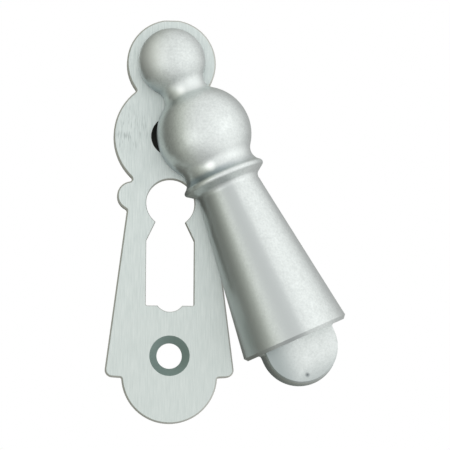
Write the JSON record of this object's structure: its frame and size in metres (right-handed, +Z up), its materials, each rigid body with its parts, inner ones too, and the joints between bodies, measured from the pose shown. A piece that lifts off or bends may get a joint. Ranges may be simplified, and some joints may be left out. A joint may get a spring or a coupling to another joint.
{
  "type": "keyhole escutcheon",
  "caption": "Covered keyhole escutcheon: a stamped back plate with a keyhole and screw holes, and a cast drop cover that swings aside on a rivet.",
  "frame": {"origin": "halfway between the two screw holes, in the back face of the plate", "axes": "X to the viewer's right, Z up the plate, Y from the viewer towards the door, so the front faces -Y"},
  "size_m": [0.0446, 0.0137, 0.0763],
  "materials": {
    "plate": "satin chrome plate, brushed up and down",
    "cover": "satin chrome plate on a cast and bead-blasted body",
    "rivet": "plain steel, flush in the back of the plate"
  },
  "bodies": {
    "plate": {"back_plate": "plate"},
    "cover": {"drop_cover": "cover", "pivot_rivet": "rivet"}
  },
  "joints": [
    {"name": "cover_swing", "type": "hinge", "parent": "plate", "child": "cover", "pos_m": [0, -0.00345, 0.03465], "axis": [0, 1, 0], "continuous": true}
  ]
}
